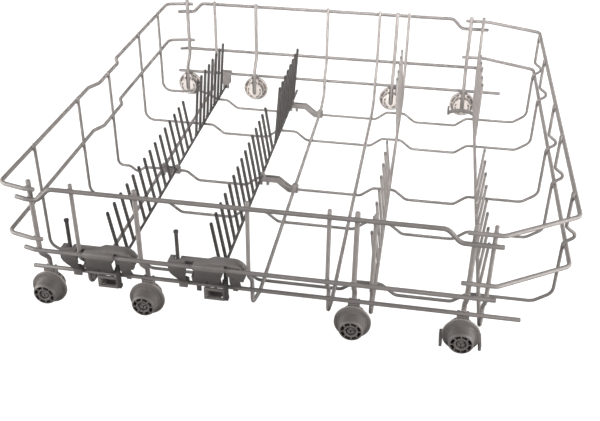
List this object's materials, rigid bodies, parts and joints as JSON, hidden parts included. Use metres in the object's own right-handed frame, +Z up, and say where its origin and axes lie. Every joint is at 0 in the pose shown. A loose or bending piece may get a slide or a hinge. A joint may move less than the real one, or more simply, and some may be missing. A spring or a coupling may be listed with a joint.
{
  "type": "dishwasher basket",
  "caption": "Lower dishwasher basket of bent grey wire on wheels, with folding and fixed rows of plate tines and release levers on one side.",
  "frame": {"origin": "bottom centre of the basket's box, on the ground under the wheels", "axes": "+X to the front of the basket, +Y to its right side, +Z up"},
  "size_m": [0.514, 0.5268, 0.1395],
  "materials": {
    "frame_wire": "satin",
    "folding_wire": "satin",
    "grey_moulding": "satin",
    "dark_moulding": "satin",
    "clip_moulding": "satin",
    "wheel_moulding": "satin"
  },
  "bodies": {
    "basket": {"left_top_rail": "frame_wire", "left_mid_rail": "frame_wire", "left_bottom_rail": "frame_wire", "right_top_rail": "frame_wire", "right_mid_rail": "frame_wire", "right_bottom_rail": "frame_wire", "rear_top_rail": "frame_wire", "rear_mid_rail": "frame_wire", "front_top_rail": "frame_wire", "front_mid_rail": "frame_wire", "floor_wire_1": "frame_wire", "floor_wire_2": "frame_wire", "floor_wire_3": "frame_wire", "floor_wire_4": "frame_wire", "floor_wire_5": "frame_wire", "cross_wire_1": "frame_wire", "cross_wire_2": "frame_wire", "cross_wire_3": "frame_wire", "cross_wire_4": "frame_wire", "cross_wire_5": "frame_wire", "left_wheel_wire_1": "frame_wire", "left_wheel_wire_2": "frame_wire", "left_wheel_wire_3": "frame_wire", "left_wheel_wire_4": "frame_wire", "right_wheel_wire_1": "frame_wire", "right_wheel_wire_2": "frame_wire", "right_wheel_wire_3": "frame_wire", "right_wheel_wire_4": "frame_wire", "middle_fixed_tines": "frame_wire", "front_fixed_tines": "frame_wire", "rear_fold_bracket": "grey_moulding", "middle_fold_bracket": "grey_moulding", "rear_centre_clip": "clip_moulding", "rear_right_clip": "clip_moulding", "middle_centre_clip": "clip_moulding", "middle_right_clip": "clip_moulding", "left_wheel_holder_1": "grey_moulding", "left_wheel_holder_2": "grey_moulding", "left_wheel_holder_3": "grey_moulding", "left_wheel_holder_4": "grey_moulding", "right_wheel_holder_1": "grey_moulding", "right_wheel_holder_2": "grey_moulding", "right_wheel_holder_3": "grey_moulding", "right_wheel_holder_4": "grey_moulding"},
    "rear_tines": {"rear_folding_tines": "folding_wire", "rear_lock_crank": "folding_wire"},
    "middle_tines": {"middle_folding_tines": "folding_wire", "middle_lock_crank": "folding_wire"},
    "rear_lever": {"rear_release_lever": "dark_moulding"},
    "middle_lever": {"middle_release_lever": "dark_moulding"},
    "left_wheel_1": {"left_wheel_1": "wheel_moulding"},
    "left_wheel_2": {"left_wheel_2": "wheel_moulding"},
    "left_wheel_3": {"left_wheel_3": "wheel_moulding"},
    "left_wheel_4": {"left_wheel_4": "wheel_moulding"},
    "right_wheel_1": {"right_wheel_1": "wheel_moulding"},
    "right_wheel_2": {"right_wheel_2": "wheel_moulding"},
    "right_wheel_3": {"right_wheel_3": "wheel_moulding"},
    "right_wheel_4": {"right_wheel_4": "wheel_moulding"}
  },
  "joints": [
    {"name": "rear_tines_fold", "type": "hinge", "parent": "basket", "child": "rear_tines", "pos_m": [-0.1706, 0, 0.0205], "axis": [0, 1, 0], "range_deg": [0, 86]},
    {"name": "middle_tines_fold", "type": "hinge", "parent": "basket", "child": "middle_tines", "pos_m": [-0.0672, 0, 0.0205], "axis": [0, 1, 0], "range_deg": [0, 86]},
    {"name": "rear_lever_tilt", "type": "hinge", "parent": "basket", "child": "rear_lever", "pos_m": [-0.1706, -0.2504, 0.065], "axis": [-1, 0, 0], "range_deg": [0, 15], "stiffness_Nm_per_rad": 0.02},
    {"name": "middle_lever_tilt", "type": "hinge", "parent": "basket", "child": "middle_lever", "pos_m": [-0.0672, -0.2504, 0.065], "axis": [-1, 0, 0], "range_deg": [0, 15], "stiffness_Nm_per_rad": 0.02},
    {"name": "left_wheel_1_spin", "type": "hinge", "parent": "basket", "child": "left_wheel_1", "pos_m": [-0.2261, -0.2552, 0.017], "axis": [0, 1, 0], "continuous": true},
    {"name": "left_wheel_2_spin", "type": "hinge", "parent": "basket", "child": "left_wheel_2", "pos_m": [-0.1282, -0.2552, 0.017], "axis": [0, 1, 0], "continuous": true},
    {"name": "left_wheel_3_spin", "type": "hinge", "parent": "basket", "child": "left_wheel_3", "pos_m": [0.0667, -0.2552, 0.017], "axis": [0, 1, 0], "continuous": true},
    {"name": "left_wheel_4_spin", "type": "hinge", "parent": "basket", "child": "left_wheel_4", "pos_m": [0.1643, -0.2552, 0.017], "axis": [0, 1, 0], "continuous": true},
    {"name": "right_wheel_1_spin", "type": "hinge", "parent": "basket", "child": "right_wheel_1", "pos_m": [-0.2261, 0.2552, 0.017], "axis": [0, 1, 0], "continuous": true},
    {"name": "right_wheel_2_spin", "type": "hinge", "parent": "basket", "child": "right_wheel_2", "pos_m": [-0.1282, 0.2552, 0.017], "axis": [0, 1, 0], "continuous": true},
    {"name": "right_wheel_3_spin", "type": "hinge", "parent": "basket", "child": "right_wheel_3", "pos_m": [0.0667, 0.2552, 0.017], "axis": [0, 1, 0], "continuous": true},
    {"name": "right_wheel_4_spin", "type": "hinge", "parent": "basket", "child": "right_wheel_4", "pos_m": [0.1643, 0.2552, 0.017], "axis": [0, 1, 0], "continuous": true}
  ]
}
